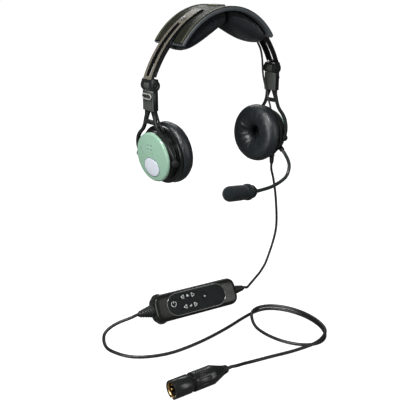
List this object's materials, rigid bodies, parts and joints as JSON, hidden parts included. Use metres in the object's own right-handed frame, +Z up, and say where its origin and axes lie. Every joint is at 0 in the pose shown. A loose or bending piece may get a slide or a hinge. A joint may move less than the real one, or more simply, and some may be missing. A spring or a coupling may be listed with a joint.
{
  "type": "aviation headset",
  "caption": "On-ear aviation headset with slotted headband, folding arms, tilting ear cups, boom microphone, corded control module and keyed round plug.",
  "frame": {"origin": "midway between the two ear cups, on the line through their middles", "axes": "+X towards the wearer's left ear, -Y the way the wearer faces, +Z up through the top of the band"},
  "size_m": [0.2985, 0.2233, 0.3427],
  "materials": {
    "band": "satin moulded nylon, olive sheen",
    "carrier": "gloss moulded edge",
    "strip": "satin coated spring strip",
    "pad_fabric": "soft knit over foam",
    "leatherette": "soft wrinkled leatherette",
    "dome": "sage green gloss",
    "black_moulded": "fine moulded texture",
    "steel": "machined",
    "black_steel": "black finish",
    "driver": "moulded frame",
    "foam": "open-cell foam",
    "boom": "sleeved flexible neck",
    "rubber": "soft moulded",
    "cord": "jacketed cable",
    "case": "satin moulded case",
    "keypad": "membrane with light printing",
    "board": "solder mask",
    "cell": "wrapped cell",
    "plug_metal": "black chrome shell",
    "gold": "gold plated"
  },
  "bodies": {
    "headband": {"band_shell": "band", "pad_carrier": "carrier", "head_pad": "pad_fabric", "band_screws": "steel", "arm_strip_right": "strip", "arm_strip_left": "strip", "knee_bracket_right": "black_moulded", "knee_bracket_left": "black_moulded", "knee_pins": "black_steel", "crossover_wire": "cord"},
    "slider_right": {"slider_block_right": "black_moulded"},
    "slider_left": {"slider_block_left": "black_moulded"},
    "fork_right": {"stirrup_right": "black_moulded"},
    "fork_left": {"stirrup_left": "black_moulded"},
    "cup_right": {"cup_shell_right": "black_moulded", "dome_right": "dome", "trim_ring_right": "black_moulded", "baffle_right": "black_moulded", "driver_right": "driver", "foam_disc_right": "foam", "ear_seal_right": "leatherette", "pivot_pins_right": "black_steel", "cup_wire_right": "cord"},
    "cup_left": {"cup_shell_left": "black_moulded", "dome_left": "dome", "baffle_left": "black_moulded", "driver_left": "driver", "foam_disc_left": "foam", "ear_seal_left": "leatherette", "pivot_pins_left": "black_steel", "cup_wire_left": "cord", "cord_ball": "rubber"},
    "boom": {"boom_ring": "black_moulded", "gooseneck": "boom", "mic_housing": "black_moulded", "mic_capsule": "steel", "windscreen": "foam"},
    "cord": {"upper_cord": "cord", "lower_cord": "cord", "cable_boots": "rubber", "module_front": "case", "module_back": "case", "keypad_panel": "keypad", "main_board": "board", "batteries": "cell", "module_screws": "steel", "plug_shell": "plug_metal", "plug_insert": "black_moulded", "plug_pins": "gold", "plug_sleeve": "plug_metal", "plug_screw": "plug_metal"},
    "door": {"battery_door": "case"},
    "wheel_upper": {"volume_wheel_upper": "rubber"},
    "wheel_lower": {"volume_wheel_lower": "rubber"},
    "power_key": {"power_key": "keypad"},
    "upper_left_key": {"upper_left_key": "keypad"},
    "upper_right_key": {"upper_right_key": "keypad"},
    "lower_left_key": {"lower_left_key": "keypad"},
    "lower_right_key": {"lower_right_key": "keypad"},
    "link_key": {"link_key": "keypad"}
  },
  "joints": [
    {"name": "right_knee", "type": "hinge", "parent": "headband", "child": "slider_right", "pos_m": [-0.09425, 0, 0.0783], "axis": [0, -1, 0], "range_deg": [0, 36]},
    {"name": "right_height", "type": "slide", "parent": "slider_right", "child": "fork_right", "axis": [0, 0, 1], "range_m": [-0.01, 0.0035]},
    {"name": "right_cup_tilt", "type": "hinge", "parent": "fork_right", "child": "cup_right", "pos_m": [-0.087, 0, -0.003], "axis": [0, 1, 0], "range_deg": [-8, 8]},
    {"name": "left_knee", "type": "hinge", "parent": "headband", "child": "slider_left", "pos_m": [0.09425, 0, 0.0783], "axis": [0, 1, 0], "range_deg": [0, 12]},
    {"name": "left_height", "type": "slide", "parent": "slider_left", "child": "fork_left", "axis": [0, 0, 1], "range_m": [-0.01, 0.0035]},
    {"name": "left_cup_tilt", "type": "hinge", "parent": "fork_left", "child": "cup_left", "pos_m": [0.087, 0, -0.003], "axis": [0, -1, 0], "range_deg": [-8, 8]},
    {"name": "boom_swing", "type": "hinge", "parent": "cup_left", "child": "boom", "pos_m": [0.0801, 0, 0], "axis": [-0.9966, 0, 0.0819], "range_deg": [-4, 14]},
    {"name": "cord_hang", "type": "hinge", "parent": "cup_left", "child": "cord", "pos_m": [0.0851, -0.013, -0.0286], "axis": [0, 1, 0], "range_deg": [-12, 0]},
    {"name": "power_key_press", "type": "slide", "parent": "cord", "child": "power_key", "axis": [0.1811, 0.8378, -0.515], "range_m": [0, 0.0004]},
    {"name": "upper_left_key_press", "type": "slide", "parent": "cord", "child": "upper_left_key", "axis": [0.1811, 0.8378, -0.515], "range_m": [0, 0.0004]},
    {"name": "upper_right_key_press", "type": "slide", "parent": "cord", "child": "upper_right_key", "axis": [0.1811, 0.8378, -0.515], "range_m": [0, 0.0004]},
    {"name": "lower_left_key_press", "type": "slide", "parent": "cord", "child": "lower_left_key", "axis": [0.1811, 0.8378, -0.515], "range_m": [0, 0.0004]},
    {"name": "lower_right_key_press", "type": "slide", "parent": "cord", "child": "lower_right_key", "axis": [0.1811, 0.8378, -0.515], "range_m": [0, 0.0004]},
    {"name": "link_key_press", "type": "slide", "parent": "cord", "child": "link_key", "axis": [0.1811, 0.8378, -0.515], "range_m": [0, 0.0004]},
    {"name": "wheel_upper_turn", "type": "hinge", "parent": "cord", "child": "wheel_upper", "pos_m": [-0.12016, -0.03566, -0.15308], "axis": [-0.1811, -0.8378, 0.515], "range_deg": [-135, 135]},
    {"name": "wheel_lower_turn", "type": "hinge", "parent": "cord", "child": "wheel_lower", "pos_m": [-0.12243, -0.04613, -0.17092], "axis": [-0.1811, -0.8378, 0.515], "range_deg": [-135, 135]},
    {"name": "battery_door_slide", "type": "slide", "parent": "cord", "child": "door", "axis": [0.9774, -0.2113, 0], "range_m": [0, 0.004]}
  ],
  "couplings": [
    {"joint": "cord_hang", "follows": "left_knee", "ratio": -1}
  ]
}
